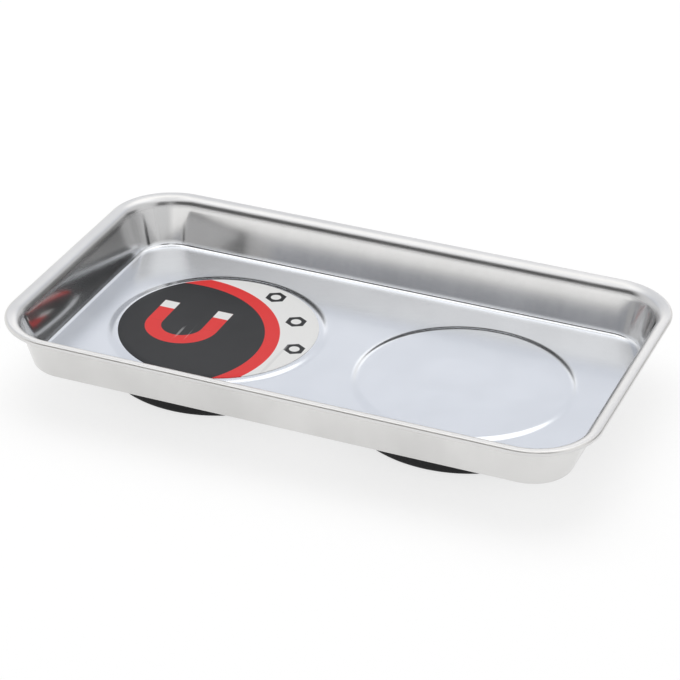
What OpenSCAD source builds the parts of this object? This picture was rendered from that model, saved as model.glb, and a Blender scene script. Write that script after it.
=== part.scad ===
// Magnetic parts tray: a pressed steel dish on two rubber-booted ring magnets.
// Sizes are in millimetres. X runs along the dish and Z is up. The origin is on the bench, midway
// between the two feet.

/* [Dish] */
// Length over the rolled rim
dish_length = 240; // [226:1:320]
// Width over the rolled rim
dish_width = 140; // [122:1:200]
// Depth from the top of the rim down to the floor
dish_depth = 20; // [12:0.5:36]
// Thickness of the steel sheet
sheet = 0.7; // [0.5:0.1:0.9]
// Plan radius of the rim's outer corners
corner_radius = 26.5; // [18:0.5:40]
// Lean of the walls away from upright, in degrees
wall_draft = 16.6; // [8:0.1:26]
// Inside radius of the bend from floor to wall
floor_bend = 1.5; // [1:0.25:4]

/* [Rim] */
// Diameter of the rolled edge
rim_roll = 2.2; // [2:0.1:3.4]
// How far round the edge is rolled, in degrees
rim_turn = 270; // [200:5:275]
// Outer edge of the rim in to where the wall begins
rim_width = 5.4; // [4.6:0.1:9]
// Fall of the shoulder from the roll in to the wall, in degrees
shoulder_fall = 12; // [5:1:35]
// Outer radius of the bend from shoulder to wall
shoulder_bend = 5; // [2:0.25:6.5]

/* [Bosses] */
// Distance between the centres of the two bosses, which is also that of the feet
foot_spacing = 104; // [96:1:110]
// Diameter of the flat on top of each boss
boss_diameter = 80.5; // [80.5:0.5:85]
// Height of each boss above the floor
boss_rise = 0.65; // [0.3:0.05:1.2]
// Radius of the two bends of its edge
boss_bend = 7.4; // [3:0.2:10]

/* [Label] */
// Diameter of the printed film
label_diameter = 80; // [40:1:80]
// Thickness of the printed film
label_thickness = 0.2; // [0.1:0.05:0.4]

/* [Magnet foot] */
// Outer diameter of the ring magnet and of its pole plate
magnet_diameter = 80; // [70:0.5:80.5]
// Bore of the ring magnet
magnet_bore = 40; // [34:0.5:60]
// Thickness of the ring magnet
magnet_thickness = 10; // [7:0.5:14]
// Thickness of the pole plate's steel
plate_thickness = 1.5; // [1:0.1:2]
// Outer diameter of the pole plate's raised middle
plate_well = 26; // [20:0.5:30]
// Outer radius of the bend at the top of the raised middle
plate_crown = 2.5; // [2.2:0.1:4]
// Radius of the bend at the bottom of the raised middle
plate_bend = 1; // [0.5:0.1:1.5]
// Thickness of the rubber under the pole plate
boot_base = 2.5; // [1.5:0.1:4]
// Thickness of the rubber round the magnet
boot_wall = 4.75; // [2.5:0.25:5.5]
// Rounding of the boot's lower edge
boot_round = 2; // [0.5:0.25:4]
// Rounding of the boot's upper edge
boot_lip = 1; // [0.25:0.25:2]

/* [Fastening] */
// Thread diameter of the stud and nut
stud_diameter = 5; // [4:0.5:6]
// Diameter of the stud's welded flange
stud_flange = 7; // [6.5:0.5:9]
// Thickness of the stud's welded flange
stud_flange_thickness = 0.8; // [0.5:0.1:1.2]
// Length of the stud that shows past the nut
stud_show = 0.5; // [0:0.1:0.9]
// Chamfer at the stud's end
stud_chamfer = 0.5; // [0.2:0.1:1]
// Width of the nut across its flats
nut_flats = 8; // [7:0.5:10]
// Height of the nut
nut_height = 4; // [3:0.1:5]
// Diameter of the plain washer
washer_diameter = 10; // [8:0.5:15]
// Thickness of the plain washer
washer_thickness = 1; // [0.5:0.1:1.2]
// Diameter of the spring washer
spring_washer_diameter = 9; // [8:0.2:11]
// Thickness of the spring washer
spring_washer_thickness = 1.2; // [0.8:0.1:1.4]
// Width of the spring washer's split
spring_washer_split = 1; // [0.5:0.1:2]
// Height of the nut above the bench
nut_setback = 1; // [1:0.1:2]

/* [Clearances] */
// Gap all round between the magnet and its boot
boot_fit = 0.25; // [0:0.05:0.5]
// Gap all round between the centring disc and the magnet's bore
disc_fit = 0.2; // [0.1:0.05:0.5]
// Gap all round a piece that slides onto the stud
stud_fit = 0.25; // [0.1:0.05:0.4]
// Gap all round between the stud's thread and the nut's
thread_fit = 0.05; // [0:0.01:0.1]

/* [Hidden] */
$fn = 96;
bend_steps = 6;
roll_steps = 18;
left = -1;
right = 1;
cut = 1;

// Heights above the bench, from the boot up to the rim
foot_height = boot_base + plate_thickness + magnet_thickness;
boss_z = foot_height + sheet;
floor_z = boss_z - boss_rise;
boot_top = floor_z - sheet;
rim_z = floor_z + dish_depth;

// Heights of the fasteners, from the nut up to the seat under the pole plate's raised middle
spring_washer_z = nut_setback + nut_height;
washer_z = spring_washer_z + spring_washer_thickness;
seat_z = washer_z + washer_thickness;
disc_z = seat_z + plate_thickness;

// Radii round a foot's axis
magnet_radius = magnet_diameter / 2;
boot_bore = magnet_radius + boot_fit;
boot_radius = boot_bore + boot_wall;
well_radius = plate_well / 2;
boot_opening = well_radius + plate_bend;
stud_radius = stud_diameter / 2;
slip_radius = stud_radius + stud_fit;

// The edge of a boss is two equal bends, one turned over, so its steepest slope follows from its rise
edge_slope = acos(1 - boss_rise / (2 * boss_bend));
boss_flat = boss_diameter / 2;
boss_foot = boss_flat + 2 * boss_bend * sin(edge_slope);
edge_foot_centre = [boss_foot, floor_z + boss_bend];
edge_top_centre = [boss_flat, boss_z - boss_bend];

// The sheet's outline, in the plane of a corner: its x is the distance out from the corner's axis.
// Each bend has one centre, and the sheet's two faces are arcs round it.
corner_x = dish_length / 2 - corner_radius;
corner_y = dish_width / 2 - corner_radius;
roll_radius = rim_roll / 2;
roll_centre = [corner_radius - roll_radius, rim_z - roll_radius];
roll_start = 90 + shoulder_fall;
roll_end = roll_start - rim_turn;
shoulder_normal = [-sin(shoulder_fall), cos(shoulder_fall)];
wall_normal = [-cos(wall_draft), sin(wall_draft)];
floor_normal = [0, 1];
shoulder_start = roll_centre + roll_radius * shoulder_normal;
wall_top_x = corner_radius - rim_width;
wall_top = [wall_top_x, shoulder_start.y - (shoulder_start.x - wall_top_x) * tan(shoulder_fall)];
wall_foot = [wall_top.x - (wall_top.y - floor_z) * tan(wall_draft), floor_z];
shoulder_centre = wall_top - shoulder_bend * between(shoulder_normal, wall_normal);
floor_centre = wall_foot + floor_bend * between(wall_normal, floor_normal);

// Step from a corner to the centre of a bend of radius one that touches both of its faces
function between(first, second) = (first + second) / (1 + first * second);

// Points along an arc, from one angle to another
function arc(centre, radius, from, to, steps) =
    [for (i = [0:steps]) let (a = from + (to - from) * i / steps) centre + radius * [cos(a), sin(a)]];

sheet_outline = concat(
    [[0, floor_z]],
    arc(floor_centre, floor_bend, -90, -wall_draft, bend_steps),
    arc(shoulder_centre, shoulder_bend, 180 - wall_draft, roll_start, bend_steps),
    arc(roll_centre, roll_radius, roll_start, roll_end, roll_steps),
    arc(roll_centre, roll_radius - sheet, roll_end, roll_start, roll_steps),
    arc(shoulder_centre, shoulder_bend - sheet, roll_start, 180 - wall_draft, bend_steps),
    arc(floor_centre, floor_bend + sheet, -wall_draft, -90, bend_steps),
    [[0, floor_z - sheet]]
);

module at_foot(side) translate([side * foot_spacing / 2, 0, 0]) children();

// A disc with a hole through it, standing on the given height
module ring(outer, bore, thickness, z) {
    translate([0, 0, z]) difference() {
        cylinder(r = outer, h = thickness);
        translate([0, 0, -cut]) cylinder(r = bore, h = thickness + 2 * cut);
    }
}

// The dish without its bosses: four turned corners, four straight sides and the flat floor between
module plain_dish() {
    for (k = [0:3]) {
        odd = k % 2 == 1;
        reach = odd ? corner_y : corner_x;
        run = odd ? corner_x : corner_y;
        rotate([0, 0, 90 * k]) {
            translate([reach, run, 0]) rotate_extrude(angle = 90) polygon(sheet_outline);
            translate([reach, run, 0]) rotate([90, 0, 0]) linear_extrude(2 * run) polygon(sheet_outline);
        }
    }
    translate([-corner_x, -corner_y, floor_z - sheet]) cube([2 * corner_x, 2 * corner_y, sheet]);
}

// Points along a boss's edge from its foot up to its flat, on the face that lies the given depth inside the sheet
function boss_edge(depth) = concat(
    arc(edge_foot_centre, boss_bend + depth, 270, 270 - edge_slope, bend_steps),
    arc(edge_top_centre, boss_bend - depth, 90 - edge_slope, 90, bend_steps)
);

// The steel that a boss raises above the floor
module boss_bulge() {
    rotate_extrude() polygon(concat(
        [[0, floor_z - sheet / 2], [boss_foot, floor_z - sheet / 2]],
        boss_edge(0),
        [[0, boss_z]]
    ));
}

// The pocket under a boss, where the magnet sits
module boss_pocket() {
    rotate_extrude() polygon(concat(
        [[0, floor_z - sheet - cut], [boss_foot, floor_z - sheet - cut]],
        boss_edge(sheet),
        [[0, foot_height]]
    ));
}

module dish() {
    color([0.83, 0.84, 0.87]) difference() {
        union() {
            plain_dish();
            for (side = [left, right]) at_foot(side) boss_bulge();
        }
        for (side = [left, right]) at_foot(side) boss_pocket();
    }
}

module label() {
    color([0.93, 0.93, 0.92]) at_foot(left) translate([0, 0, boss_z])
        cylinder(d = label_diameter, h = label_thickness);
}

// A rubber cup, open at the top for the magnet and in the middle of its base for the nut
module rubber_boot() {
    color([0.13, 0.13, 0.14]) rotate_extrude() polygon(concat(
        [[boot_opening, 0]],
        arc([boot_radius - boot_round, boot_round], boot_round, -90, 0, bend_steps),
        arc([boot_radius - boot_lip, boot_top - boot_lip], boot_lip, 0, 90, bend_steps),
        [[boot_bore, boot_top], [boot_bore, boot_base], [boot_opening, boot_base]]
    ));
}

module ring_magnet() {
    color([0.24, 0.24, 0.26]) ring(magnet_radius, magnet_bore / 2, magnet_thickness, boot_base + plate_thickness);
}

// A flat steel ring under the magnet, raised in the middle so that the nut sits clear of the bench
module pole_plate() {
    crown_centre = [well_radius - plate_crown, disc_z - plate_crown];
    bend_centre = [well_radius + plate_bend, boot_base + plate_thickness + plate_bend];
    color([0.62, 0.64, 0.67]) rotate_extrude() polygon(concat(
        [[slip_radius, disc_z]],
        arc(crown_centre, plate_crown, 90, 0, bend_steps),
        arc(bend_centre, plate_bend, 180, 270, bend_steps),
        [[magnet_radius, boot_base + plate_thickness], [magnet_radius, boot_base]],
        arc(bend_centre, plate_bend + plate_thickness, 270, 180, bend_steps),
        arc(crown_centre, plate_crown - plate_thickness, 0, 90, bend_steps),
        [[slip_radius, seat_z]]
    ));
}

// Fills the top of the magnet's bore and keeps it on the stud's axis, with room for the stud's flange
module centring_disc() {
    flange_room = stud_flange / 2 + stud_fit;
    color([0.88, 0.87, 0.83]) difference() {
        ring(magnet_bore / 2 - disc_fit, slip_radius, foot_height - disc_z, disc_z);
        translate([0, 0, foot_height - stud_flange_thickness - stud_fit])
            cylinder(r = flange_room, h = stud_flange_thickness + stud_fit + cut);
    }
}

module weld_stud() {
    tip_z = nut_setback - stud_show;
    color([0.72, 0.73, 0.75]) rotate_extrude() polygon([
        [0, tip_z], [stud_radius - stud_chamfer, tip_z], [stud_radius, tip_z + stud_chamfer],
        [stud_radius, foot_height - stud_flange_thickness],
        [stud_flange / 2, foot_height - stud_flange_thickness],
        [stud_flange / 2, foot_height], [0, foot_height],
    ]);
}

module washer() {
    color([0.75, 0.76, 0.78]) ring(washer_diameter / 2, slip_radius, washer_thickness, washer_z);
}

module spring_washer() {
    color([0.66, 0.67, 0.69]) difference() {
        ring(spring_washer_diameter / 2, slip_radius, spring_washer_thickness, spring_washer_z);
        translate([0, -spring_washer_split / 2, spring_washer_z - cut])
            cube([spring_washer_diameter, spring_washer_split, spring_washer_thickness + 2 * cut]);
    }
}

module stud_nut() {
    color([0.74, 0.75, 0.77]) translate([0, 0, nut_setback]) difference() {
        cylinder(r = nut_flats / 2 / cos(30), h = nut_height, $fn = 6);
        translate([0, 0, -cut]) cylinder(r = stud_radius + thread_fit, h = nut_height + 2 * cut);
    }
}

dish();
label();
at_foot(left) rubber_boot();  // left_rubber_boot
at_foot(right) rubber_boot();  // right_rubber_boot
at_foot(left) ring_magnet();  // left_ring_magnet
at_foot(right) ring_magnet();  // right_ring_magnet
at_foot(left) pole_plate();  // left_pole_plate
at_foot(right) pole_plate();  // right_pole_plate
at_foot(left) centring_disc();  // left_centring_disc
at_foot(right) centring_disc();  // right_centring_disc
at_foot(left) weld_stud();  // left_weld_stud
at_foot(right) weld_stud();  // right_weld_stud
at_foot(left) washer();  // left_washer
at_foot(right) washer();  // right_washer
at_foot(left) spring_washer();  // left_spring_washer
at_foot(right) spring_washer();  // right_spring_washer
at_foot(left) stud_nut();  // left_stud_nut
at_foot(right) stud_nut();  // right_stud_nut
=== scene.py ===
# %% [markdown]
# # A magnetic parts tray
# The tray is a pressed steel dish with a rolled rim. Two low round bosses in its floor cover two ring
# magnets in rubber boots, which are also its feet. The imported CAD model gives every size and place.
# This lesson gives the same pieces their true surfaces and finishes.

# %% Load the fixed frame
import math

import bmesh
import bpy
import numpy as np
from mathutils import Matrix, Vector


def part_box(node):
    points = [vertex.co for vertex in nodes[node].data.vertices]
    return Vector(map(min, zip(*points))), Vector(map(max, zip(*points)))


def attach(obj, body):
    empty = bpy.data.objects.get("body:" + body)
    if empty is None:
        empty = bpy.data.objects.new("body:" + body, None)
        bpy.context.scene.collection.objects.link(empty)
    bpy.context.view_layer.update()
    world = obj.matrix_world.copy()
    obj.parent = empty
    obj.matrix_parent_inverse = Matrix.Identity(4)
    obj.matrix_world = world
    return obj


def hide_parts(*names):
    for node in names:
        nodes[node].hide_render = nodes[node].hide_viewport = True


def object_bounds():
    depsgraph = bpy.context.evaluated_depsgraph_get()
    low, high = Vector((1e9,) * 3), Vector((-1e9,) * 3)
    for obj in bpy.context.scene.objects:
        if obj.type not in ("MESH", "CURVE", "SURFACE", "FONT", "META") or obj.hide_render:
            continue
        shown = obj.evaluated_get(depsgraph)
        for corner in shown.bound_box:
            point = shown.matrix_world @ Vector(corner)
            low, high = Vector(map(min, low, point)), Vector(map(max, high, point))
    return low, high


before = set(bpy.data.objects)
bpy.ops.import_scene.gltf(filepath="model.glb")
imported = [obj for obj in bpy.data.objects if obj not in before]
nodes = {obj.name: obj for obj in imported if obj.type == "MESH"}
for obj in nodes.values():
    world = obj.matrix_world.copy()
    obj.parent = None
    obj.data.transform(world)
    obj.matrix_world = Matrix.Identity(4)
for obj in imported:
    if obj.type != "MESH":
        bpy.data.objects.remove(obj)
cad_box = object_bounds()
MM = 0.001
print("CAD nodes:", len(nodes), "box in mm:", [round(v / MM, 2) for v in cad_box[1] - cad_box[0]])

# %% [markdown]
# ## The camera
# The photograph was taken from the front right with a long lens. Its place was found by matching the
# rim, the bosses and the label, seen in the picture, with the same curves in the CAD model. The
# camera looks along an azimuth and an elevation at a point in the plane of the rim, and it is rolled
# by one degree.

# %% Camera
AZIMUTH = math.radians(21.8)
ELEVATION = math.radians(29.49)
ROLL = math.radians(0.99)
DISTANCE = 0.9824
AIM = Vector((0.00877, -0.02158, cad_box[1].z))
PICTURE_PIXELS = 680
FOCAL_PIXELS = 2585.3
SENSOR_MM = 36.0
NEAREST = 0.01
FARTHEST = 20.0

back = Vector((
    math.sin(AZIMUTH) * math.cos(ELEVATION),
    -math.cos(AZIMUTH) * math.cos(ELEVATION),
    math.sin(ELEVATION),
))
level = Vector((math.cos(AZIMUTH), math.sin(AZIMUTH), 0.0))
upright = back.cross(level)
right = math.cos(ROLL) * level + math.sin(ROLL) * upright
up = math.cos(ROLL) * upright - math.sin(ROLL) * level

lens = bpy.data.cameras.new("studio_camera")
lens.sensor_width = SENSOR_MM
lens.lens = FOCAL_PIXELS * SENSOR_MM / PICTURE_PIXELS
lens.clip_start = NEAREST
lens.clip_end = FARTHEST
camera = bpy.data.objects.new("studio_camera", lens)
facing = Matrix((right, up, back)).transposed().to_4x4()
camera.matrix_world = Matrix.Translation(AIM + back * DISTANCE) @ facing
bpy.context.scene.collection.objects.link(camera)
bpy.context.scene.camera = camera
print("lens in mm:", round(lens.lens, 1))

# %% [markdown]
# ## Shader sums as Python
# A node tree is a sum written with boxes and wires. The class below wraps one wire, so that the sum can
# be typed: `1 - mask * 0.5` adds the two Math nodes. Colours are mixed with a Mix node, because a Math
# node would turn them grey. Every other node comes from one method.

# %% The wire class
class Wire:
    """An output socket that can be used in sums. Each operator adds one Math node."""

    def __init__(self, tree, socket=None):
        self.tree = tree
        self.socket = socket

    def node(self, kind, settings=None, inputs=None, out=0):
        """Add a node of any type: its settings first, then the values or wires of its sockets."""
        made = self.tree.nodes.new(kind)
        for name, value in (settings or {}).items():
            setattr(made, name, value)
        for name, value in (inputs or {}).items():
            if isinstance(value, Wire):
                self.tree.links.new(value.socket, made.inputs[name])
            else:
                made.inputs[name].default_value = value
        return Wire(self.tree, made.outputs[out])

    def math(self, operation, *others):
        """One Math node: this wire first, then the other values."""
        values = dict(enumerate((self, *others)))
        return self.node("ShaderNodeMath", {"operation": operation}, values)

    def __add__(self, other):
        return self.math("ADD", other)

    __radd__ = __add__

    def __mul__(self, other):
        return self.math("MULTIPLY", other)

    __rmul__ = __mul__

    def __sub__(self, other):
        return self.math("SUBTRACT", other)

    def __rsub__(self, other):
        return self.node("ShaderNodeMath", {"operation": "SUBTRACT"}, {0: other, 1: self})

    def __abs__(self):
        return self.math("ABSOLUTE")

    def lower(self, other):
        """The smaller of two values."""
        return self.math("MINIMUM", other)

    def higher(self, other):
        """The larger of two values."""
        return self.math("MAXIMUM", other)

    def ramp(self, start, end):
        """0 below start, 1 above end, and a soft S between them."""
        ends = {"Value": self, "From Min": start, "From Max": end}
        return self.node("ShaderNodeMapRange", {"interpolation_type": "SMOOTHSTEP"}, ends)

    def blend(self, first, second):
        """A colour: the first where this wire is 0, the second where it is 1."""
        inputs = {0: self, 6: first, 7: second}
        return self.node("ShaderNodeMix", {"data_type": "RGBA"}, inputs, out=2)


print("sums such as 1 - mask * 0.5 now add Math nodes")

# %% [markdown]
# ## Starting a finish
# Every finish is one Principled BSDF that reads Object coordinates. The pieces sit at the origin, so
# these are the places on the tray itself, in metres. Values that are the same all over are set on the
# shader. Only what varies is wired.

# %% Helpers for finishes
def start_finish(name, **constants):
    """A new material with its wire for sums, the shader and the Object coordinates."""
    material = bpy.data.materials.new(name)
    material.use_nodes = True
    tree = material.node_tree
    shader = tree.nodes["Principled BSDF"]
    for socket, value in constants.items():
        shader.inputs[socket.replace("_", " ")].default_value = value
    sums = Wire(tree)
    place = sums.node("ShaderNodeTexCoord", out="Object")
    return material, sums, shader, place


def noise(sums, place, stretch, detail=2.0, roughness=0.5):
    """Cloud noise from 0 to 1. The stretch is the number of clouds per metre along X, Y and Z."""
    scaled = sums.node("ShaderNodeMapping", {"vector_type": "POINT"}, {"Vector": place, "Scale": stretch})
    inputs = {"Vector": scaled, "Scale": 1.0, "Detail": detail, "Roughness": roughness}
    return sums.node("ShaderNodeTexNoise", None, inputs, out=0)


def feed(shader, sums, **wires):
    """Join wires to the shader's sockets, by name."""
    for socket, wire in wires.items():
        sums.tree.links.new(wire.socket, shader.inputs[socket.replace("_", " ")])


def bump(sums, height, distance):
    """A normal from a height from 0 to 1, where 1 stands the given distance proud, in metres."""
    inputs = {"Height": height, "Distance": distance, "Strength": 1.0}
    return sums.node("ShaderNodeBump", None, inputs, out="Normal")


print("finish helpers ready")

# %% [markdown]
# ## Surfaces from numpy
# A pressed sheet is a profile carried along a path, and a turned piece is a profile carried round an
# axis. Both are grids of points, worked out as whole arrays. Neighbouring grids share their edges, so
# the helper that makes the mesh merges the doubles, closes the poles and turns all faces outwards.

# %% Helpers for surfaces
WELD = 1e-6
SHARP_ANGLE = math.radians(32)


def arc(centre, radius, start, end, count):
    """Points on a circle: the centre plus radius times (cos a, sin a), a going from start to end degrees."""
    a = np.radians(np.linspace(start, end, count))
    return np.asarray(centre) + radius * np.stack([np.cos(a), np.sin(a)], axis=1)


def polar(degrees):
    """The unit vector that points that many degrees round from X."""
    return np.array([math.cos(math.radians(degrees)), math.sin(math.radians(degrees))])


def grid_faces(rows, columns, wrap_rows, wrap_columns):
    """Quads that join each grid point with the next row and the next column."""
    i = np.arange(rows if wrap_rows else rows - 1)
    j = np.arange(columns if wrap_columns else columns - 1)
    i, j = np.meshgrid(i, j, indexing="ij")
    i_next = (i + 1) % rows
    j_next = (j + 1) % columns
    corners = [i * columns + j, i_next * columns + j, i_next * columns + j_next, i * columns + j_next]
    return np.stack(corners, axis=-1).reshape(-1, 4)


def make_piece(name, grids, stands_for, finish, sharp=True):
    """One mesh from (points, wrap rows, wrap columns) grids, welded, faces outwards, riding on the root."""
    points = []
    faces = []
    first = 0
    for grid, wrap_rows, wrap_columns in grids:
        rows, columns = grid.shape[:2]
        points.append(grid.reshape(-1, 3))
        faces.append(first + grid_faces(rows, columns, wrap_rows, wrap_columns))
        first += rows * columns
    mesh = bpy.data.meshes.new(name)
    mesh.from_pydata(np.concatenate(points), [], np.concatenate(faces))
    work = bmesh.new()
    work.from_mesh(mesh)
    bmesh.ops.remove_doubles(work, verts=work.verts, dist=WELD)
    bmesh.ops.recalc_face_normals(work, faces=work.faces)
    loose_edges = sum(len(edge.link_faces) != 2 for edge in work.edges)
    work.to_mesh(mesh)
    work.free()
    mesh.polygons.foreach_set("use_smooth", np.ones(len(mesh.polygons), bool))
    if sharp:
        mesh.set_sharp_from_angle(angle=SHARP_ANGLE)
    mesh.materials.append(finish)
    piece = bpy.data.objects.new(name, mesh)
    bpy.context.scene.collection.objects.link(piece)
    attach(piece, "root")
    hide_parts(stands_for)
    mesh.calc_loop_triangles()
    print(name, "triangles:", len(mesh.loop_triangles), "open edges:", loose_edges)
    return piece


def revolve(outline, centre, count):
    """Turn an outline of (radius, height) round an upright axis: x = r cos a, y = r sin a."""
    a = np.linspace(0, 2 * math.pi, count, endpoint=False)[:, None]
    r, z = outline.T
    x = centre[0] + r * np.cos(a)
    y = centre[1] + r * np.sin(a)
    return np.stack([x, y, z + 0 * a], axis=-1)


print("points closer than", WELD / MM, "mm are merged")

# %% [markdown]
# ## Sizes of the dish
# The outside of the dish comes from the frame: its length, width, top and underside, and the flats of
# its bosses, on one of which the label lies. The bends are those of the CAD part. In the plane of a
# corner, x is the distance out from the corner's axis, so one outline serves the sides and the corners
# alike.

# %% Dish sizes
dish_lo, dish_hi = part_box("dish")
SHEET = 0.7 * MM
CORNER_RADIUS = 26.5 * MM
WALL_DRAFT = 16.6
FLOOR_BEND = 1.5 * MM
ROLL_RADIUS = 1.1 * MM
RIM_TURN = 270.0
RIM_WIDTH = 5.4 * MM
SHOULDER_FALL = 12.0
SHOULDER_BEND = 5.0 * MM

corner_x = dish_hi.x - CORNER_RADIUS
corner_y = dish_hi.y - CORNER_RADIUS
rim_z = dish_hi.z
floor_z = dish_lo.z + SHEET
boss_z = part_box("label")[0].z
roll_start = 90 + SHOULDER_FALL
roll_end = roll_start - RIM_TURN


def between(first, second):
    """Step from a corner to the centre of a bend of radius one between faces with these normals."""
    return (first + second) / (1 + first @ second)


roll_centre = np.array([CORNER_RADIUS - ROLL_RADIUS, rim_z - ROLL_RADIUS])
shoulder_start = roll_centre + ROLL_RADIUS * polar(roll_start)
shoulder_normal = polar(roll_start)
wall_normal = polar(180 - WALL_DRAFT)
floor_normal = polar(90)
wall_top_x = CORNER_RADIUS - RIM_WIDTH
shoulder_drop = (shoulder_start[0] - wall_top_x) * math.tan(math.radians(SHOULDER_FALL))
wall_top = np.array([wall_top_x, shoulder_start[1] - shoulder_drop])
wall_run = (wall_top[1] - floor_z) * math.tan(math.radians(WALL_DRAFT))
wall_foot = np.array([wall_top_x - wall_run, floor_z])
shoulder_centre = wall_top - SHOULDER_BEND * between(shoulder_normal, wall_normal)
floor_centre = wall_foot + FLOOR_BEND * between(wall_normal, floor_normal)
print("floor and rim heights in mm:", round(floor_z / MM, 2), round(rim_z / MM, 2))

# %% [markdown]
# ## The wall and rim
# The real wall is drawn up from the floor, bent out into a shoulder, and its edge is curled under into
# a roll. Bevelled boxes would not give that curl. The outline below goes up the inside of the sheet,
# round the roll, round the cut edge inside it, and back down the outside. Each bend has one centre, so
# the sheet keeps its thickness.

# %% Sheet outline
BEND_STEPS = 11
ROLL_STEPS = 34
CUT_STEPS = 7
WALL_STEPS = 8
SHOULDER_STEPS = 2


def straight(start, end, count):
    """Points spaced evenly between two ends, without the ends."""
    t = np.linspace(0, 1, count + 2)[1:-1, None]
    return (1 - t) * start + t * end


inner_bend = arc(floor_centre, FLOOR_BEND, -90, -WALL_DRAFT, BEND_STEPS)
inner_shoulder = arc(shoulder_centre, SHOULDER_BEND, 180 - WALL_DRAFT, roll_start, BEND_STEPS)
roll_outside = arc(roll_centre, ROLL_RADIUS, roll_start, roll_end, ROLL_STEPS)
cut_centre = roll_centre + (ROLL_RADIUS - SHEET / 2) * polar(roll_end)
cut_edge = arc(cut_centre, SHEET / 2, roll_end, roll_end - 180, CUT_STEPS)[1:-1]
roll_inside = arc(roll_centre, ROLL_RADIUS - SHEET, roll_end, roll_start, ROLL_STEPS // 2)
outer_shoulder = arc(shoulder_centre, SHOULDER_BEND - SHEET, roll_start, 180 - WALL_DRAFT, BEND_STEPS)
outer_bend = arc(floor_centre, FLOOR_BEND + SHEET, -WALL_DRAFT, -90, BEND_STEPS)
sheet_outline = np.concatenate([
    inner_bend,
    straight(inner_bend[-1], inner_shoulder[0], WALL_STEPS),
    inner_shoulder,
    straight(inner_shoulder[-1], roll_outside[0], SHOULDER_STEPS),
    roll_outside[1:],
    cut_edge,
    roll_inside,
    straight(roll_inside[-1], outer_shoulder[0], SHOULDER_STEPS),
    outer_shoulder,
    straight(outer_shoulder[-1], outer_bend[0], WALL_STEPS),
    outer_bend,
])
print("points in the sheet's outline:", len(sheet_outline))

# %% [markdown]
# ## The path round the dish
# The corner's axis slides along each side while the outline looks one way, and stands still at each
# corner while the outline turns by 90 degrees. One half of the path is worked out. The other half is
# the same, turned by 180 degrees.

# %% Path
SIDE_STEPS = 26
CORNER_STEPS = 34
END_STEPS = 30


def leg(start, end, count):
    """Steps of (axis x, axis y, direction in degrees), without the last one."""
    return np.linspace(start, end, count, endpoint=False)


half_path = np.concatenate([
    leg((0, -corner_y, -90), (corner_x, -corner_y, -90), SIDE_STEPS),
    leg((corner_x, -corner_y, -90), (corner_x, -corner_y, 0), CORNER_STEPS),
    leg((corner_x, -corner_y, 0), (corner_x, corner_y, 0), END_STEPS),
    leg((corner_x, corner_y, 0), (corner_x, corner_y, 90), CORNER_STEPS),
    leg((corner_x, corner_y, 90), (0, corner_y, 90), SIDE_STEPS),
    [(0, corner_y, 90)],
])


def half_turn(grid):
    """The same points, turned by 180 degrees round the tray's upright axis."""
    return grid * np.array([-1.0, -1.0, 1.0])


def sweep(path, outline):
    """Carry an outline along a path: the axis plus the outline's x times (cos a, sin a), at its z."""
    x, y, degrees = path.T[:, :, None]
    out, z = outline.T[:, None, :]
    a = np.radians(degrees)
    return np.stack([x + out * np.cos(a), y + out * np.sin(a), z + 0 * a], axis=-1)


half_wall = sweep(half_path, sheet_outline)
print("wall grid:", half_wall.shape)

# %% [markdown]
# ## The floor with its bosses
# Each half of the floor is a ring of rays: they start on the floor's edge and the middle line, and run
# in to the boss. There the sheet climbs a low edge of two bends, one turned over, to the flat that
# covers the magnet. The upper and the lower face are two such sheets, a thickness apart.

# %% Floor and bosses
foot_x = (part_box("right_rubber_boot")[0].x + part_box("right_rubber_boot")[1].x) / 2
BOSS_FLAT = 40.25 * MM
BOSS_BEND = 7.4 * MM
EDGE_STEPS = 9
RAY_STEPS = 9
MIDDLE_STEPS = 34
BOSS_RINGS = 14

boss_rise = boss_z - floor_z
edge_slope = math.degrees(math.acos(1 - boss_rise / (2 * BOSS_BEND)))
edge_run = 2 * BOSS_BEND * math.sin(math.radians(edge_slope))
edge_foot = np.array([BOSS_FLAT + edge_run, floor_z + BOSS_BEND])
edge_top = np.array([BOSS_FLAT, boss_z - BOSS_BEND])


def boss_outline(depth):
    """(radius, height) from the edge's foot in to the middle, for the face that lies depth below the top."""
    lower = arc(edge_foot, BOSS_BEND + depth, 270, 270 - edge_slope, EDGE_STEPS)
    upper = arc(edge_top, BOSS_BEND - depth, 90 - edge_slope, 90, EDGE_STEPS)
    radii = upper[-1, 0] * np.linspace(1, 0, BOSS_RINGS)[1:]
    flat = np.stack([radii, np.full(len(radii), upper[-1, 1])], axis=1)
    return np.concatenate([lower, upper[1:], flat])


def floor_half(depth):
    """Rays from the floor's edge to the boss's middle, for the face that lies depth below the top."""
    edge = sweep(half_path, np.array([[floor_centre[0], floor_z - depth]]))[:, 0]
    middle_y = np.linspace(edge[-1, 1], edge[0, 1], MIDDLE_STEPS)[1:-1]
    middle = np.stack([0 * middle_y, middle_y, 0 * middle_y + floor_z - depth], axis=1)
    loop = np.concatenate([edge, middle])
    a = np.arctan2(loop[:, 1], loop[:, 0] - foot_x)
    outline = boss_outline(depth)
    x = foot_x + outline[:, 0] * np.cos(a)[:, None]
    y = outline[:, 0] * np.sin(a)[:, None]
    rings = np.stack([x, y, outline[:, 1] + 0 * x], axis=-1)
    t = np.linspace(0, 1, RAY_STEPS, endpoint=False)[None, :, None]
    rays = (1 - t) * loop[:, None] + t * rings[:, :1]
    return np.concatenate([rays, rings], axis=1)


floor_top = floor_half(0.0)
floor_below = floor_half(SHEET)
print("floor grid:", floor_top.shape, "boss rise in mm:", round(boss_rise / MM, 2))

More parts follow.
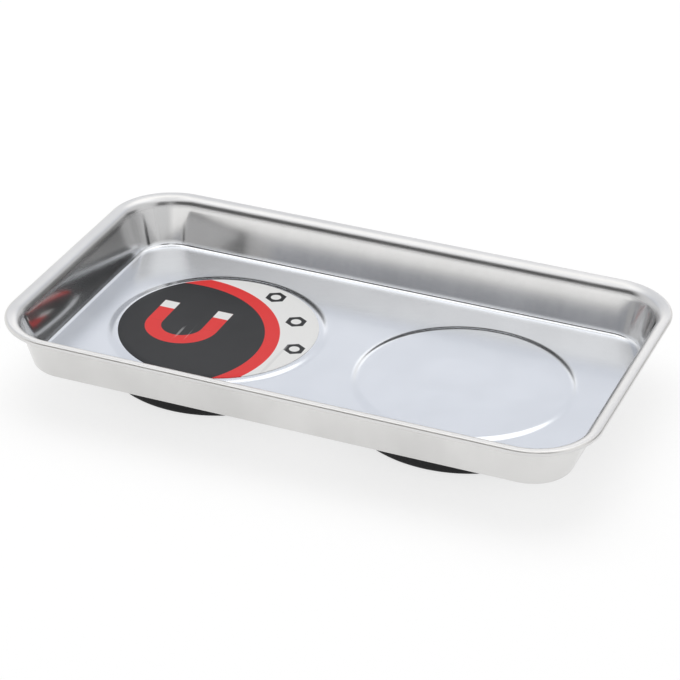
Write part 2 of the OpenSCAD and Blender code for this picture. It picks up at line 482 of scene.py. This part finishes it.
# %% [markdown]
# ## Stainless sheet
# The sheet was rolled, then pressed. Its floor keeps the satin of the rolling mill, with fine lines along
# the tray. The inner wall was stretched over the die, so it mirrors more sharply and carries faint upright
# draw lines. Its colour is painted darker than the rest of the sheet, as painted shade. The shoulder and
# rim were buffed after the edge was curled, which leaves a softer sheen. The outside has smudges from
# handling. One material holds them all, mixed by height and by an attribute that tells the inside of the
# wall from its outside.

# %% Finish of the dish
SATIN = ((0.80, 0.815, 0.84, 1), (0.83, 0.845, 0.87, 1))
# The inner wall's colour, painted darker than the rest of the sheet: painted shade.
INNER_WALL_SHADE = ((0.55, 0.55, 0.552, 1), (0.585, 0.585, 0.588, 1))
BUFFED = ((0.72, 0.71, 0.695, 1), (0.745, 0.735, 0.72, 1))
HANDLED = ((0.68, 0.675, 0.665, 1), (0.77, 0.765, 0.755, 1))
FLOOR_ROUGHNESS = 0.2
WALL_POLISH = 0.04
INNER_POLISH = 0.05
BUFFING = 0.18
LINE_HEIGHT = 0.002 * MM


def steel_sheet():
    """Metal whose gloss and lines change from the floor to the inner wall, the rim and the outside. The
    inner wall is painted darker, as painted shade.
    """
    material, sums, shader, place = start_finish("steel_sheet", Metallic=1.0)
    height = sums.node("ShaderNodeSeparateXYZ", None, {"Vector": place}, out="Z")
    faces_up = sums.node("ShaderNodeAttribute", {"attribute_name": "faces_up"}, None, out="Fac")
    wall = height.ramp(floor_z + 1.0 * MM, floor_z + 2.5 * MM)
    shoulder = height.ramp(rim_z - 4.8 * MM, rim_z - 3.2 * MM)
    rim = height.ramp(rim_z - 1.6 * MM, rim_z - 0.6 * MM)
    inner_wall = wall * faces_up * (1 - rim)
    mill_lines = noise(sums, place, (35, 2600, 2600), detail=3.0, roughness=0.6)
    draw_lines = noise(sums, place, (420, 420, 9), detail=4.0, roughness=0.65)
    clouds = noise(sums, place, (45, 45, 45), detail=3.0)
    smudges = noise(sums, place, (32, 32, 14), detail=3.0)
    lines = mill_lines + wall * (draw_lines - mill_lines)
    patches = clouds.ramp(0.3, 0.75)
    upper = rim.blend(patches.blend(*SATIN), patches.blend(*BUFFED))
    outside = smudges.ramp(0.3, 0.7).blend(*HANDLED)
    # The inner wall takes the darker colour, which is painted shade.
    colour = inner_wall.blend(faces_up.blend(outside, upper), patches.blend(*INNER_WALL_SHADE))
    sheen = FLOOR_ROUGHNESS - wall * WALL_POLISH - inner_wall * INNER_POLISH + shoulder * BUFFING
    roughness = sheen + (lines - 0.5) * 0.06 + (clouds - 0.5) * 0.04
    feed(shader, sums, Base_Color=colour, Roughness=roughness)
    feed(shader, sums, Normal=bump(sums, lines, LINE_HEIGHT))
    return material


def mark_faces_up(piece):
    """Attribute faces_up: 1 where the surface looks up, 0 where it looks down, from the normal's z."""
    normals = np.empty(3 * len(piece.data.vertices))
    piece.data.vertices.foreach_get("normal", normals)
    faces_up = np.clip(0.5 + 2.0 * normals[2::3], 0, 1)
    attribute = piece.data.attributes.new("faces_up", "FLOAT", "POINT")
    attribute.data.foreach_set("value", faces_up)
    print(piece.name, "points that look up:", int((faces_up > 0.5).sum()), "of", len(faces_up))


steel_finish = steel_sheet()
floor_grids = [(floor_top, True, False), (floor_below, True, False)]
floor_grids += [(half_turn(floor_top), True, False), (half_turn(floor_below), True, False)]
wall_grids = [(half_wall, False, False), (half_turn(half_wall), False, False)]
dish = make_piece("pressed_dish", wall_grids + floor_grids, "dish", steel_finish, sharp=False)
mark_faces_up(dish)

# %% [markdown]
# ## The label
# A thin round film lies on the left boss. It is a disc with a softened edge, so that it catches a fine
# line of light all round.

# %% Label film
LABEL_STEPS = 160
FILM_RINGS = 15
FILM_EDGE_STEPS = 7
label_lo, label_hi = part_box("label")
label_radius = (label_hi.x - label_lo.x) / 2
label_middle = ((label_lo.x + label_hi.x) / 2, 0.0)
film = label_hi.z - label_lo.z
film_edge = arc((label_radius - film / 2, label_lo.z + film / 2), film / 2, -90, 90, FILM_EDGE_STEPS)
film_radii = np.linspace(0, 1, FILM_RINGS, endpoint=False) * (label_radius - film / 2)
film_below = np.stack([film_radii, np.full(FILM_RINGS, label_lo.z)], axis=1)
film_above = np.stack([film_radii[::-1], np.full(FILM_RINGS, label_hi.z)], axis=1)
film_outline = np.concatenate([film_below, film_edge, film_above])
print("label radius and thickness in mm:", round(label_radius / MM, 2), round(film / MM, 2))

# %% [markdown]
# ## The print on the label
# The print is made of plain shapes: a dark field, a red band, a pale field with three nut outlines, and a
# horseshoe magnet. An image would blur close up. Here each shape is a distance in millimetres from the
# disc's middle, compared with a size, so its edges stay sharp.

# %% Shapes for the print
STRAIGHT_SOFT = 0.1
ROUND_SOFT = 0.12
HEXAGON_NORMAL = polar(60)


def past(value, edge, soft=STRAIGHT_SOFT):
    """0 before an edge and 1 past it, softened over a little distance, all in millimetres."""
    return value.ramp(edge - soft, edge + soft)


def disc_from(x, y, centre, radius):
    """1 inside a circle and 0 outside: the distance is the root of dx squared plus dy squared."""
    dx = x - centre[0]
    dy = y - centre[1]
    distance = (dx * dx + dy * dy).math("SQRT")
    return 1 - past(distance, radius, ROUND_SOFT)


def hexagon(x, y, centre, flats):
    """1 inside a hexagon of that width across its flats: the largest of three distances to its flats."""
    dx = x - centre[0]
    dy = y - centre[1]
    along = dx * float(HEXAGON_NORMAL[0])
    across = dy * float(HEXAGON_NORMAL[1])
    reach = abs(dx).higher(abs(along + across)).higher(abs(along - across))
    return 1 - past(reach, flats / 2, ROUND_SOFT)


print("shapes have soft edges of", ROUND_SOFT, "mm")

# %% Finish of the label
PALE_INK = (0.86, 0.86, 0.85, 1)
RED_INK = (0.80, 0.022, 0.02, 1)
DARK_INK = (0.014, 0.0145, 0.016, 1)
WORN_INK = (0.62, 0.62, 0.62, 1)
FIELD_CENTRE = (-20, -13)
DARK_RADIUS = 42
RED_RADIUS = 48
MAGNET_CENTRE = (-14, -4)
MAGNET_OUTER = 15
MAGNET_INNER = 8.5
LEG_END = 12
TIP_START = 6.5
NUT_CENTRES = ((34.5, -4), (26.5, 16.5), (11, 32))
NUT_PRINT = 7.6
NUT_HOLE = 2.1


def horseshoe(x, y):
    """The magnet as half a ring with two legs, and the tips of its legs, both as masks."""
    ring = disc_from(x, y, MAGNET_CENTRE, MAGNET_OUTER) - disc_from(x, y, MAGNET_CENTRE, MAGNET_INNER)
    above = past(y, MAGNET_CENTRE[1])
    across = abs(x - MAGNET_CENTRE[0])
    bars = past(across, MAGNET_INNER) * (1 - past(across, MAGNET_OUTER))
    legs = bars * above * (1 - past(y, LEG_END))
    magnet = (ring * (1 - above)).higher(legs)
    return magnet, magnet * past(y, TIP_START)


def label_print():
    """Dark, red and pale fields, nut outlines and a horseshoe magnet, with hairline scratches."""
    material, sums, shader, place = start_finish("label_print", IOR=1.35)
    shift = (-label_middle[0] / MM, 0.0, 0.0)
    scaled = {"Vector": place, "Scale": (1 / MM, 1 / MM, 1 / MM), "Location": shift}
    centred = sums.node("ShaderNodeMapping", {"vector_type": "POINT"}, scaled)
    x = sums.node("ShaderNodeSeparateXYZ", None, {"Vector": centred}, out="X")
    y = sums.node("ShaderNodeSeparateXYZ", None, {"Vector": centred}, out="Y")
    colour = disc_from(x, y, FIELD_CENTRE, RED_RADIUS).blend(PALE_INK, RED_INK)
    colour = disc_from(x, y, FIELD_CENTRE, DARK_RADIUS).blend(colour, DARK_INK)
    magnet, tips = horseshoe(x, y)
    colour = magnet.blend(colour, RED_INK)
    colour = tips.blend(colour, PALE_INK)
    for centre in NUT_CENTRES:
        nut = hexagon(x, y, centre, NUT_PRINT) - disc_from(x, y, centre, NUT_HOLE)
        colour = nut.higher(0.0).blend(colour, DARK_INK)
    scuffs = noise(sums, place, (260, 14, 100), detail=3.0)
    scratch = scuffs.ramp(0.70, 0.74) * 0.35
    colour = scratch.blend(colour, WORN_INK)
    clouds = noise(sums, place, (60, 60, 60), detail=3.0)
    feed(shader, sums, Base_Color=colour, Roughness=0.34 + clouds * 0.14 + scratch * 0.2)
    feed(shader, sums, Normal=bump(sums, clouds, 0.02 * MM))
    return material


film_grid = revolve(film_outline, label_middle, LABEL_STEPS)
make_piece("printed_label", [(film_grid, True, False)], "label", label_print())

# %% [markdown]
# ## The rubber boots
# Each boot is a moulded cup that holds the magnet and grips the bench. Its outline has a rounded foot,
# a shallow groove below the lip where the mould parts, and four grip rings in its base.

# %% Boot outline
boot_lo, boot_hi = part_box("right_rubber_boot")
boot_radius = (boot_hi.x - boot_lo.x) / 2
magnet_lo, magnet_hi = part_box("right_ring_magnet")
plate_lo, plate_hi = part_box("right_pole_plate")
BOOT_FIT = 0.25 * MM
BOOT_ROUND = 2.0 * MM
BOOT_LIP = 1.0 * MM
BOOT_OPENING = 14.0 * MM
EDGE_ROUND = 0.35 * MM
GROOVE = 0.35 * MM
GROOVE_STEPS = 7
GRIP_SPREAD = 1.6
GRIP_RADII = (20, 26, 32, 38)
PART_LINE_DROP = 2.6 * MM
BOOT_STEPS = 144

boot_bore = (magnet_hi.x - magnet_lo.x) / 2 + BOOT_FIT
boot_base = plate_lo.z
boot_top = boot_hi.z
across = GROOVE * np.linspace(-1, 1, GROOVE_STEPS)
dip = GROOVE * np.cos(np.linspace(-math.pi / 2, math.pi / 2, GROOVE_STEPS))
grips = [np.stack([radius * MM + GRIP_SPREAD * across, dip], axis=1) for radius in GRIP_RADII]
part_line = np.stack([boot_radius - dip, boot_top - PART_LINE_DROP + across], axis=1)
boot_outline = np.concatenate([
    arc((BOOT_OPENING + EDGE_ROUND, boot_base - EDGE_ROUND), EDGE_ROUND, 90, 180, 5),
    arc((BOOT_OPENING + EDGE_ROUND, EDGE_ROUND), EDGE_ROUND, 180, 270, 5),
    *grips,
    arc((boot_radius - BOOT_ROUND, BOOT_ROUND), BOOT_ROUND, -90, 0, 11),
    part_line,
    arc((boot_radius - BOOT_LIP, boot_top - BOOT_LIP), BOOT_LIP, 0, 90, 9),
    arc((boot_bore + EDGE_ROUND, boot_top - EDGE_ROUND), EDGE_ROUND, 90, 180, 5),
    [(boot_bore, boot_base)],
])
print("boot radius and height in mm:", round(boot_radius / MM, 2), round(boot_top / MM, 2))

# %% [markdown]
# ## Black rubber
# Moulded rubber takes the fine pebble of its mould, and holds a little dust. Both are slight, because too
# much of either looks like stone.

# %% Finish of the boots
SIDES = ("left", "right")


def boot_rubber():
    """Matte black rubber with a fine pebble and a trace of pale dust."""
    material, sums, shader, place = start_finish("boot_rubber", IOR=1.5, Specular_IOR_Level=0.35)
    pebble = noise(sums, place, (1800, 1800, 1800), detail=2.0)
    clouds = noise(sums, place, (70, 70, 70), detail=3.0)
    dust = clouds.ramp(0.5, 0.8) * 0.6
    colour = dust.blend((0.016, 0.016, 0.017, 1), (0.034, 0.034, 0.035, 1))
    feed(shader, sums, Base_Color=colour, Roughness=0.62 + pebble * 0.2)
    feed(shader, sums, Normal=bump(sums, pebble, 0.05 * MM))
    return material


rubber_finish = boot_rubber()
for side in SIDES:
    node = f"{side}_rubber_boot"
    axis = (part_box(node)[0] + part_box(node)[1]) / 2
    boot_grid = revolve(boot_outline, axis, BOOT_STEPS)
    make_piece(f"{side}_moulded_boot", [(boot_grid, True, True)], node, rubber_finish)

# %% [markdown]
# ## The pole plates
# A zinc-plated plate lies under each magnet. Its middle is pressed up, so that the nut hides above the
# bench. Both faces of each bend share a centre, as in the dish.

# %% Pole plates
PLATE = 1.5 * MM
PLATE_WELL = 13.0 * MM
PLATE_CROWN = 2.5 * MM
PLATE_BEND = 1.0 * MM
PLATE_STEPS = 120
STUD_FIT = 0.25 * MM
stud_lo, stud_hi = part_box("right_weld_stud")
washer_lo, washer_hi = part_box("right_washer")
THREAD_RADIUS = 2.5 * MM
bore = THREAD_RADIUS + STUD_FIT
plate_radius = (plate_hi.x - plate_lo.x) / 2
crown_centre = (PLATE_WELL - PLATE_CROWN, plate_hi.z - PLATE_CROWN)
bend_centre = (PLATE_WELL + PLATE_BEND, plate_lo.z + PLATE + PLATE_BEND)
plate_top = plate_lo.z + PLATE
plate_outline = np.concatenate([
    arc((bore + EDGE_ROUND, plate_hi.z - EDGE_ROUND), EDGE_ROUND, 180, 90, 5),
    arc(crown_centre, PLATE_CROWN, 90, 0, 9),
    arc(bend_centre, PLATE_BEND, 180, 270, 9),
    arc((plate_radius - EDGE_ROUND, plate_top - EDGE_ROUND), EDGE_ROUND, 90, 0, 5),
    arc((plate_radius - EDGE_ROUND, plate_lo.z + EDGE_ROUND), EDGE_ROUND, 0, -90, 5),
    arc(bend_centre, PLATE_BEND + PLATE, 270, 180, 11),
    arc(crown_centre, PLATE_CROWN - PLATE, 0, 90, 9),
    arc((bore + EDGE_ROUND, washer_hi.z + EDGE_ROUND), EDGE_ROUND, 270, 180, 5),
])


def zinc_plate(name, colour, other_colour, roughness):
    """Bright zinc with faint blue and straw clouds, and fine crystals in its gloss."""
    material, sums, shader, place = start_finish(name, Metallic=1.0)
    clouds = noise(sums, place, (160, 160, 160), detail=3.0)
    crystals = noise(sums, place, (2400, 2400, 2400), detail=2.0)
    tint = clouds.ramp(0.35, 0.7).blend(colour, other_colour)
    feed(shader, sums, Base_Color=tint, Roughness=roughness + crystals * 0.12 + clouds * 0.08)
    feed(shader, sums, Normal=bump(sums, crystals, 0.01 * MM))
    return material


plate_finish = zinc_plate("zinc_on_plate", (0.50, 0.53, 0.57, 1), (0.60, 0.59, 0.55, 1), 0.24)
for side in SIDES:
    node = f"{side}_pole_plate"
    axis = (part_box(node)[0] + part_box(node)[1]) / 2
    plate_grid = revolve(plate_outline, axis, PLATE_STEPS)
    make_piece(f"{side}_pressed_plate", [(plate_grid, True, True)], node, plate_finish)

# %% [markdown]
# ## The studs
# The fasteners show from below, through the boot's opening. A thread is a surface whose radius depends
# on the angle and the height together, so one grid holds all its turns.

# %% Threaded stud
PITCH = 0.8 * MM
THREAD_DEPTH = 0.43 * MM
THREAD_FLAT = 0.125
ROWS_PER_TURN = 9
STUD_STEPS = 60
TIP_CHAMFER = 0.5 * MM
FLANGE_RADIUS = 3.5 * MM
FLANGE = 0.8 * MM
FLANGE_EDGE = 0.15 * MM
WELD_EDGE = 0.1 * MM
fastener_finish = zinc_plate("zinc_on_fasteners", (0.60, 0.62, 0.66, 1), (0.66, 0.65, 0.62, 1), 0.2)


def thread_grid(centre, tip_z, neck_z, count):
    """Radius = crest minus depth times a wave of height over pitch minus turns, cut by the tip's cone."""
    a = np.linspace(0, 2 * math.pi, count, endpoint=False)[:, None]
    z = np.linspace(tip_z, neck_z, int((neck_z - tip_z) / PITCH * ROWS_PER_TURN))
    turn = z / PITCH - a / (2 * math.pi)
    wave = np.abs(2 * (turn - np.floor(turn)) - 1)
    groove = np.clip((1 + 2 * THREAD_FLAT) * wave - THREAD_FLAT, 0, 1)
    cone = THREAD_RADIUS - TIP_CHAMFER + (z - tip_z)
    fade = np.clip((neck_z - z) / PITCH, 0, 1)
    r = np.minimum(THREAD_RADIUS - THREAD_DEPTH * groove * fade, cone)
    x = centre[0] + r * np.cos(a)
    y = centre[1] + r * np.sin(a)
    return np.stack([x, y, z + 0 * a], axis=-1)


def stud_grid(centre, count=STUD_STEPS):
    """The thread, closed at its tip, and the welded flange above it."""
    neck_z = stud_hi.z - FLANGE
    thread = thread_grid(centre, stud_lo.z, neck_z, count)
    tip = revolve(np.array([(0, stud_lo.z), (THREAD_RADIUS - 2 * TIP_CHAMFER, stud_lo.z)]), centre, count)
    flange_outline = np.array([
        (FLANGE_RADIUS - FLANGE_EDGE, neck_z),
        (FLANGE_RADIUS, neck_z + FLANGE_EDGE),
        (FLANGE_RADIUS, stud_hi.z - WELD_EDGE),
        (FLANGE_RADIUS - WELD_EDGE, stud_hi.z),
        (0, stud_hi.z),
    ])
    flange = revolve(flange_outline, centre, count)
    return np.concatenate([tip, thread, flange], axis=1)


for side in SIDES:
    node = f"{side}_weld_stud"
    axis = (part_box(node)[0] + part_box(node)[1]) / 2
    grid = stud_grid(axis)
    make_piece(f"{side}_threaded_stud", [(grid, True, False)], node, fastener_finish)

# %% [markdown]
# ## The nuts
# A nut's outside is a hexagon whose corners are cut by a cone, which gives the curved edges of its
# chamfer. The hexagon is a radius that depends on the angle: half its width over the cosine of the angle
# from the middle of the nearest flat.

# %% Hexagon nuts
nut_lo, nut_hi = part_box("right_stud_nut")
NUT_FLATS = 8.0 * MM
NUT_BORE = THREAD_RADIUS + 0.05 * MM
NUT_SINK = 0.3 * MM
NUT_FACE_SHARE = 0.97
NUT_STEPS = 120
NUT_ROWS = 7
CHAMFER_SLOPE = math.tan(math.radians(30))


def nut_grid(centre, z_lo, z_hi, count=NUT_STEPS):
    """Rows from the bore out over the lower face, up the flats and back over the upper face to the bore."""
    a = np.linspace(0, 2 * math.pi, count, endpoint=False)[:, None]
    sixth = math.pi / 3
    hexagon_r = NUT_FLATS / 2 / np.cos((a % sixth) - sixth / 2)
    face_r = NUT_FLATS / 2 * NUT_FACE_SHARE
    t = np.linspace(0, 1, NUT_ROWS)
    face = NUT_BORE + NUT_SINK + (face_r - NUT_BORE - NUT_SINK) * t + 0 * a
    slope = face_r + (hexagon_r - face_r) * t[1:]
    rise = (slope - face_r) * CHAMFER_SLOPE
    lower_r = np.concatenate([0 * a + NUT_BORE, face, slope], axis=1)
    lower_z = np.concatenate([0 * a + z_lo + NUT_SINK, 0 * face + z_lo, z_lo + rise], axis=1)
    r = np.concatenate([lower_r, lower_r[:, ::-1]], axis=1)
    z = np.concatenate([lower_z, (z_lo + z_hi - lower_z)[:, ::-1]], axis=1)
    x = centre[0] + r * np.cos(a + sixth / 2)
    y = centre[1] + r * np.sin(a + sixth / 2)
    return np.stack([x, y, z], axis=-1)


for side in SIDES:
    node = f"{side}_stud_nut"
    axis = (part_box(node)[0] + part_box(node)[1]) / 2
    grid = nut_grid(axis, nut_lo.z, nut_hi.z)
    make_piece(f"{side}_hexagon_nut", [(grid, True, True)], node, fastener_finish)

# %% [markdown]
# ## The washers
# A plain washer is a rounded rectangle turned round the axis. A spring washer is the same, carried round
# from one side of its split to the other.

# %% Plain washers and spring washers
RING_STEPS = 72
CORNER_POINTS = 5


def ring_outline(inner, outer, z_lo, z_hi, rounding):
    """A rectangle of (radius, height) with its four corners rounded, as a closed outline."""
    return np.concatenate([
        arc((inner + rounding, z_lo + rounding), rounding, 180, 270, CORNER_POINTS),
        arc((outer - rounding, z_lo + rounding), rounding, -90, 0, CORNER_POINTS),
        arc((outer - rounding, z_hi - rounding), rounding, 0, 90, CORNER_POINTS),
        arc((inner + rounding, z_hi - rounding), rounding, 90, 180, CORNER_POINTS),
    ])


def split_ring(outline, centre, gap, count):
    """The outline carried round from one side of a gap to the other, each end drawn in to a point."""
    middle = outline.mean(axis=0)
    ends = np.repeat(middle[None], len(outline), axis=0)
    t = np.concatenate([[0], np.linspace(0, 1, count), [1]])[:, None]
    r = np.concatenate([ends[None, :, 0], np.repeat(outline[None, :, 0], count, axis=0), ends[None, :, 0]])
    z = np.concatenate([ends[None, :, 1], np.repeat(outline[None, :, 1], count, axis=0), ends[None, :, 1]])
    start = np.arcsin(gap / 2 / r)
    a = start + (2 * math.pi - 2 * start) * t
    return np.stack([centre[0] + r * np.cos(a), centre[1] + r * np.sin(a), z], axis=-1)


spring_lo, spring_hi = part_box("right_spring_washer")
SPRING_SPLIT = 1.0 * MM
WASHER_ROUND = 0.2 * MM
SPRING_ROUND = 0.15 * MM
washer_outline = ring_outline(bore, (washer_hi.x - washer_lo.x) / 2, washer_lo.z, washer_hi.z, WASHER_ROUND)
spring_outline = ring_outline(bore, (spring_hi.y - spring_lo.y) / 2, spring_lo.z, spring_hi.z, SPRING_ROUND)
for side in SIDES:
    node = f"{side}_washer"
    axis = (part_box(node)[0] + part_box(node)[1]) / 2
    grid = revolve(washer_outline, axis, RING_STEPS)
    make_piece(f"{side}_plain_washer", [(grid, True, True)], node, fastener_finish)
    grid = split_ring(spring_outline, axis, SPRING_SPLIT, RING_STEPS)
    node = f"{side}_spring_washer"
    make_piece(f"{side}_split_washer", [(grid, False, True)], node, fastener_finish)

# %% [markdown]
# ## Pieces that stay as the CAD made them
# The ring magnets and centring discs are plain ground and moulded rings inside the boots. Their shapes
# are right, so they only get finishes: grey sintered ferrite, and milky nylon.

# %% Finishes of the magnets and discs
def sintered_ferrite():
    """Dark grey ceramic with fine grains and ground patches."""
    material, sums, shader, place = start_finish("sintered_ferrite", IOR=1.9)
    grains = noise(sums, place, (2200, 2200, 2200), detail=3.0)
    patches = noise(sums, place, (90, 90, 90), detail=3.0)
    colour = patches.ramp(0.3, 0.7).blend((0.040, 0.040, 0.043, 1), (0.062, 0.061, 0.063, 1))
    feed(shader, sums, Base_Color=colour, Roughness=0.42 + grains * 0.25)
    feed(shader, sums, Normal=bump(sums, grains, 0.03 * MM))
    return material


def natural_nylon():
    """Milky moulded plastic with faint clouds."""
    material, sums, shader, place = start_finish("natural_nylon", IOR=1.53)
    clouds = noise(sums, place, (120, 120, 120), detail=3.0)
    grain = noise(sums, place, (1500, 1500, 1500), detail=2.0)
    colour = clouds.ramp(0.3, 0.7).blend((0.74, 0.72, 0.65, 1), (0.80, 0.78, 0.72, 1))
    feed(shader, sums, Base_Color=colour, Roughness=0.45 + grain * 0.15)
    feed(shader, sums, Normal=bump(sums, grain, 0.02 * MM))
    return material


ferrite_finish = sintered_ferrite()
nylon_finish = natural_nylon()
for side in SIDES:
    nodes[f"{side}_ring_magnet"].material_slots[0].material = ferrite_finish
    nodes[f"{side}_centring_disc"].material_slots[0].material = nylon_finish
print("finishes given to the magnets and centring discs")

# %% [markdown]
# ## The studio
# The tray stands on plain white paper in a white room. The camera and mirrors see the room at full white,
# but less of it falls on the tray as light. The paper glows a little where it is seen, so it reads as
# white, and the rest of its brightness is lit, so it keeps the tray's shadow. From below it is clear.

# %% World and floor
ROOM_LIGHT = 0.55
FLOOR_SPAN = 3.0
PAPER = (0.8, 0.8, 0.8, 1)
SHADED_PAPER = (0.34, 0.34, 0.34, 1)
PAPER_GLOW = 0.72
WHITE = (1, 1, 1, 1)

world = bpy.data.worlds.new("white_room")
world.use_nodes = True


def seen_directly(tree):
    """1 for rays from the camera, a mirror or glass, and 0 for the light that falls on the object."""
    path = tree.nodes.new("ShaderNodeLightPath")
    eye = Wire(tree, path.outputs["Is Camera Ray"])
    mirror = Wire(tree, path.outputs["Is Glossy Ray"])
    glass = Wire(tree, path.outputs["Is Transmission Ray"])
    return (eye + mirror + glass).lower(1.0)


shown = seen_directly(world.node_tree)
sky = world.node_tree.nodes["Background"]
sky.inputs["Color"].default_value = WHITE
world.node_tree.links.new((ROOM_LIGHT + shown * (1 - ROOM_LIGHT)).socket, sky.inputs["Strength"])
bpy.context.scene.world = world


def floor_paper():
    """White paper: partly lit, so that it keeps the shadow, and partly bright by itself where seen."""
    material = bpy.data.materials.new("floor_paper")
    material.use_nodes = True
    tree = material.node_tree
    tree.nodes.remove(tree.nodes["Principled BSDF"])
    sums = Wire(tree)
    paper = sums.node("ShaderNodeBsdfDiffuse", None, {"Color": PAPER})
    shaded = sums.node("ShaderNodeBsdfDiffuse", None, {"Color": SHADED_PAPER})
    bright = sums.node("ShaderNodeEmission", None, {"Color": WHITE, "Strength": PAPER_GLOW})
    white = sums.node("ShaderNodeAddShader", None, {0: shaded, 1: bright})
    seen = sums.node("ShaderNodeMixShader", None, {0: seen_directly(tree), 1: paper, 2: white})
    clear = sums.node("ShaderNodeBsdfTransparent")
    from_below = sums.node("ShaderNodeNewGeometry", None, None, out="Backfacing")
    both = sums.node("ShaderNodeMixShader", None, {0: from_below, 1: seen, 2: clear})
    tree.links.new(both.socket, tree.nodes["Material Output"].inputs["Surface"])
    return material


floor_mesh = bpy.data.meshes.new("floor")
floor_corners = FLOOR_SPAN * np.array([(-1, -1, 0), (1, -1, 0), (1, 1, 0), (-1, 1, 0)])
floor_mesh.from_pydata(floor_corners, [], [(0, 1, 2, 3)])
floor_mesh.materials.append(floor_paper())
floor = bpy.data.objects.new("floor", floor_mesh)
bpy.context.scene.collection.objects.link(floor)
print("white paper in metres:", 2 * FLOOR_SPAN)

# %% [markdown]
# ## The soft box
# One large lamp above and behind the tray gives the soft light that falls on the label, the boots and the
# paper. Mirrors don't see it, because the screens below take that part.

# %% Soft box
BOX_SIDE = 1.4
BOX_PLACE = (-0.2, 0.3, 1.5)
BOX_GLOW = 1.5


def area_lamp(name, side, place, glow):
    """A square lamp that looks at the tray. Its watts are glow times pi times its area."""
    lamp = bpy.data.lights.new(name, "AREA")
    lamp.size = side
    lamp.energy = glow * math.pi * side * side
    holder = bpy.data.objects.new(name, lamp)
    holder.location = place
    holder.rotation_mode = "QUATERNION"
    holder.rotation_quaternion = (-Vector(place)).to_track_quat("-Z", "Y")
    holder.visible_camera = False
    holder.visible_glossy = False
    bpy.context.scene.collection.objects.link(holder)
    print(name, "in watts:", round(lamp.energy, 2))


area_lamp("soft_box", BOX_SIDE, BOX_PLACE, BOX_GLOW)

# %% [markdown]
# ## Screens and cloths
# Bright metal shows mostly what is around it, so the room matters as much as the finish. Only mirrors see
# these screens and cloths. Pale ones hang overhead and behind the tray, and a bright strip lies low in
# front, for the top of the back wall. Dark cloths on the camera's side draw the dark line along the far
# rim and the dark crescents at the far edges of the bosses. They thin out towards their edges, because a
# hard edge would show in the wall.

# %% Cloths round the tray
CLOTH_RADIUS = 2.6
CLOTH_STEPS = 40


def dome_patch(azimuths, elevations, radius, count=CLOTH_STEPS):
    """Part of a sphere round the tray: azimuth 0 is the front, and 90 the right."""
    az = np.radians(np.linspace(*azimuths, count))[:, None]
    el = np.radians(np.linspace(*elevations, count))[None, :]
    x = radius * np.sin(az) * np.cos(el)
    y = -radius * np.cos(az) * np.cos(el)
    z = radius * np.sin(el) + 0 * az
    return np.stack([x, y, z], axis=-1).reshape(-1, 3), grid_faces(count, count, False, False)


def edge_fade(span, fade, count=CLOTH_STEPS):
    """How much of the cloth is there: it grows from 0 at both ends to 1 at fade degrees from them."""
    steps = np.linspace(0, abs(span[1] - span[0]), count)
    return np.clip(np.minimum(steps, steps[::-1]) / fade, 0, 1)


def hung_cloth(name, azimuths, elevations, colour, fade=None):
    """A cloth that only mirrors see: it shades nothing, and the camera looks through it. With a fade
    in degrees, sideways and upwards, it thins out towards its edges."""
    points, faces = dome_patch(azimuths, elevations, CLOTH_RADIUS)
    mesh = bpy.data.meshes.new(name)
    mesh.from_pydata(points, [], faces)
    there = np.ones(len(points))
    if fade:
        there = np.outer(edge_fade(azimuths, fade[0]), edge_fade(elevations, fade[1])).ravel()
    mesh.attributes.new("there", "FLOAT", "POINT").data.foreach_set("value", there)
    material = bpy.data.materials.new(name)
    material.use_nodes = True
    tree = material.node_tree
    tree.nodes.remove(tree.nodes["Principled BSDF"])
    sums = Wire(tree)
    glow = sums.node("ShaderNodeEmission", None, {"Color": (*colour, 1), "Strength": 1.0})
    clear = sums.node("ShaderNodeBsdfTransparent")
    weave = sums.node("ShaderNodeAttribute", {"attribute_name": "there"}, None, out="Fac")
    hung = sums.node("ShaderNodeMixShader", None, {0: weave, 1: clear, 2: glow})
    tree.links.new(hung.socket, tree.nodes["Material Output"].inputs["Surface"])
    mesh.materials.append(material)
    cloth = bpy.data.objects.new(name, mesh)
    cloth.visible_camera = False
    cloth.visible_diffuse = False
    cloth.visible_shadow = False
    bpy.context.scene.collection.objects.link(cloth)


print("cloths hang", CLOTH_RADIUS, "metres from the tray")

# %% Hanging them
hung_cloth("soft_screen", (0, 360), (74, 90), (1.04, 1.04, 1.04))
hung_cloth("ring_screen", (0, 360), (58, 74), (1.55, 1.55, 1.55))
hung_cloth("back_screen", (150, 258), (26, 46), (0.76, 0.785, 0.84))
hung_cloth("side_screen", (196, 258), (46, 58), (0.76, 0.785, 0.84))
hung_cloth("low_screen", (180, 212), (8, 26), (1.4, 1.4, 1.42))
hung_cloth("lit_screen", (150, 196), (46, 58), (1.6, 1.6, 1.6))
hung_cloth("front_cloth", (-66, 26), (20, 55), (0.03, 0.03, 0.03), fade=(14, 3))
hung_cloth("right_cloth", (27, 61), (17, 55), (0.03, 0.03, 0.03), fade=(5, 3))
hung_cloth("far_cloth", (109, 150), (1, 24), (0.03, 0.03, 0.03), fade=(4, 3))
hung_cloth("right_screen", (62, 108), (2, 42), (1.05, 1.05, 1.05), fade=(5, 4))
hung_cloth("front_strip", (-56, 32), (0, 11), (1.4, 1.39, 1.37), fade=(16, 2))
print("screens and cloths hung")

# %% [markdown]
# ## Finish
# The picture is shown with the Standard view transform.

# %% End
scene = bpy.context.scene
scene.view_settings.view_transform = "Standard"
